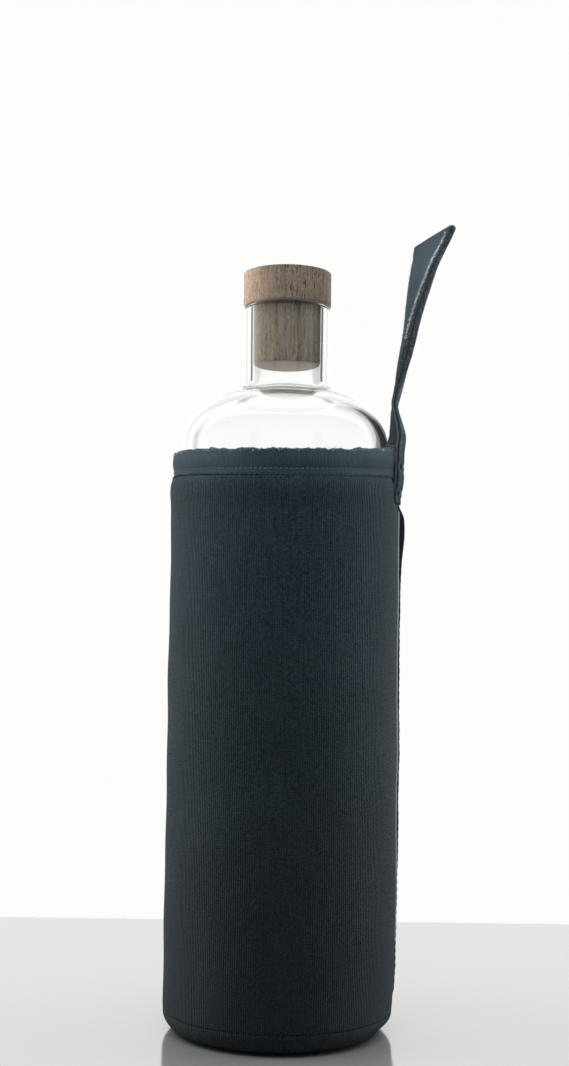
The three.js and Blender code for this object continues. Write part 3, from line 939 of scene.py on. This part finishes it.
wall = finish_piece(make_wall(), WALL_KNIT, "sleeve", "sleeve_knit", "sleeve_wall")
hem = finish_piece(make_hem(), HEM_KNIT, "sleeve", "hem_knit", "hem_band")
base = finish_piece(make_base(), WALL_KNIT, "sleeve", "sleeve_knit", "sleeve_base")
tape = finish_piece(make_side_seam(), TAPE_KNIT, "sleeve", "sleeve_knit", "side_seam_binding")
finish_piece(hem_stitches(), THREAD_FINISH, "sleeve", "stitching", "hem_stitching")
finish_piece(hem_cover(), HEM_THREAD, "sleeve", "stitching")
finish_piece(base_stitches(), THREAD_FINISH, "sleeve", "stitching", "base_stitching")
finish_piece(side_stitches(), THREAD_FINISH, "sleeve", "stitching", "side_seam_stitching")
finish_piece(seam_edge(), EDGE_THREAD_AND_HIGHLIGHT, "sleeve", "stitching")
finish_piece(make_lint(), PALE_LINT, "sleeve", "stitching")
strap = finish_piece(make_strap(), STRAP_KNIT, None, "strap_knit", "strap_loop", "strap_sewn_end")
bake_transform(strap)
fuzz = finish_piece(strap_lint(), PALE_LINT, None, "stitching")
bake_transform(fuzz)
upper_tack = tack_stitches("upper_tack_stitches", TACKS[0])
finish_piece(upper_tack, THREAD_FINISH, "sleeve", "stitching", "upper_bar_tack")
lower_tack = tack_stitches("lower_tack_stitches", TACKS[1])
finish_piece(lower_tack, THREAD_FINISH, "sleeve", "stitching", "lower_bar_tack")
glass = finish_piece(make_glass(), glass_material(), "bottle", "clear_glass", "glass_bottle")
glass.visible_shadow = False
finish_piece(make_head(), WOOD, "stopper", "turned_wood", "stopper_head")
finish_piece(make_plug(), WOOD, "stopper", "turned_wood", "stopper_plug")


# ---- floor and light ----

def make_floor():
    """A pale, slightly glossy table top that ends a little way behind the bottle."""
    mesh = bpy.data.meshes.new("table_top")
    half, near, far = 1.6, -1.6, 0.19
    mesh.from_pydata([(-half, near, 0), (half, near, 0), (half, far, 0), (-half, far, 0)], [], [(0, 1, 2, 3)])
    floor = bpy.data.objects.new("table_top", mesh)
    bpy.context.collection.objects.link(floor)
    n = Nodes("pale_table")
    n.set(n.shader, Base_Color=(0.3, 0.306, 0.3, 1), Roughness=0.12)
    n.shader.inputs["IOR"].default_value = 2.2
    n.shader.inputs["Specular IOR Level"].default_value = 1.0
    mesh.materials.append(n.material)


def make_world():
    """White all round to the eye. As a light it is bright behind and dim in front. Four dark
    upright flags and a fainter pair behind, seen only through glass, draw the glass's edges."""
    flag_azimuth, pair_azimuth = 53, 21
    world = bpy.data.worlds.new("studio")
    bpy.context.scene.world = world
    world.use_nodes = True
    tree = world.node_tree
    background = tree.nodes["Background"]

    def add(kind, settings, *values):
        node = tree.nodes.new("ShaderNode" + kind)
        for name, value in settings.items():
            setattr(node, name, value)
        for socket, value in zip(node.inputs, values):
            if isinstance(value, bpy.types.NodeSocket):
                tree.links.new(value, socket)
            elif value is not None:
                socket.default_value = value
        return node.outputs[0]

    split = tree.nodes.new("ShaderNodeSeparateXYZ")
    tree.links.new(tree.nodes.new("ShaderNodeTexCoord").outputs["Generated"], split.inputs[0])
    x, y, z = split.outputs
    light = add("MapRange", {"interpolation_type": "SMOOTHSTEP"}, y, -0.7, 0.5, 0.04, 1.42)
    turn = add("Math", {"operation": "ABSOLUTE"}, add("Math", {"operation": "ARCTAN2"}, x, y))
    wave = add("Math", {"operation": "MULTIPLY_ADD"}, turn, 4.0, math.radians(180 - 4 * flag_azimuth))
    wave = add("Math", {"operation": "COSINE"}, wave)
    flags = add("MapRange", {"interpolation_type": "SMOOTHSTEP"}, wave, -0.98, -0.88, 1.0, 0.0)
    height = add("Math", {"operation": "ABSOLUTE"}, z)
    height = add("MapRange", {"interpolation_type": "SMOOTHSTEP"}, height, 0.26, 0.36, 1.0, 0.0)
    flags = add("Math", {"operation": "MULTIPLY"}, flags, height)
    flags = add("MapRange", {}, flags, 0.0, 1.0, 1.13, 0.12)
    from_pair = add("Math", {"operation": "SUBTRACT"}, turn, math.radians(pair_azimuth))
    from_pair = add("Math", {"operation": "ABSOLUTE"}, from_pair)
    pair = add("MapRange", {"interpolation_type": "SMOOTHSTEP"}, from_pair, 0.1, 0.2, 0.72, 1.0)
    through = add("Math", {"operation": "MULTIPLY"}, flags, pair)
    seen = tree.nodes.new("ShaderNodeLightPath")
    unbounced = add("Math", {"operation": "LESS_THAN"}, seen.outputs["Diffuse Depth"], 0.5)
    to_eye = add("Math", {"operation": "MULTIPLY"}, seen.outputs["Is Transmission Ray"], unbounced)
    strength = add("Mix", {}, to_eye, None, light, through)
    strength = add("Mix", {}, seen.outputs["Is Camera Ray"], None, strength, 0.98)
    background.inputs["Color"].default_value = (1, 1, 0.992, 1)
    tree.links.new(strength, background.inputs["Strength"])


def make_light(name, place, size, power, colour, aim=0.17, spread=180):
    """A softbox that lights cloth and wood but leaves no mirror image in the glass."""
    data = bpy.data.lights.new(name, "AREA")
    data.size = size
    data.energy = power
    data.color = colour
    data.spread = math.radians(spread)
    lamp = bpy.data.objects.new(name, data)
    lamp.location = place
    lamp.rotation_euler = (Vector((0, 0, aim)) - Vector(place)).to_track_quat("-Z", "Y").to_euler()
    lamp.visible_camera = False
    lamp.visible_glossy = False
    lamp.visible_transmission = False
    bpy.context.collection.objects.link(lamp)


make_floor()
make_world()
make_light("left_softbox", (-0.31, -0.05, 0.44), 0.25, 0.85, (1.0, 0.96, 0.9))
make_light("right_softbox", (0.32, -0.02, 0.43), 0.25, 0.55, (1.0, 0.98, 0.96))
make_light("front_fill", (0.0, -0.16, 0.36), 0.16, 0.37, (0.82, 0.93, 1.0))
make_light("left_kicker", (-0.30, 0.07, 0.26), 0.05, 0.022, (1.0, 0.9, 0.76), 0.244, 14)
make_light("right_kicker", (0.30, 0.05, 0.26), 0.05, 0.022, (1.0, 0.93, 0.85), 0.244, 14)
bpy.context.scene.view_settings.view_transform = "Standard"
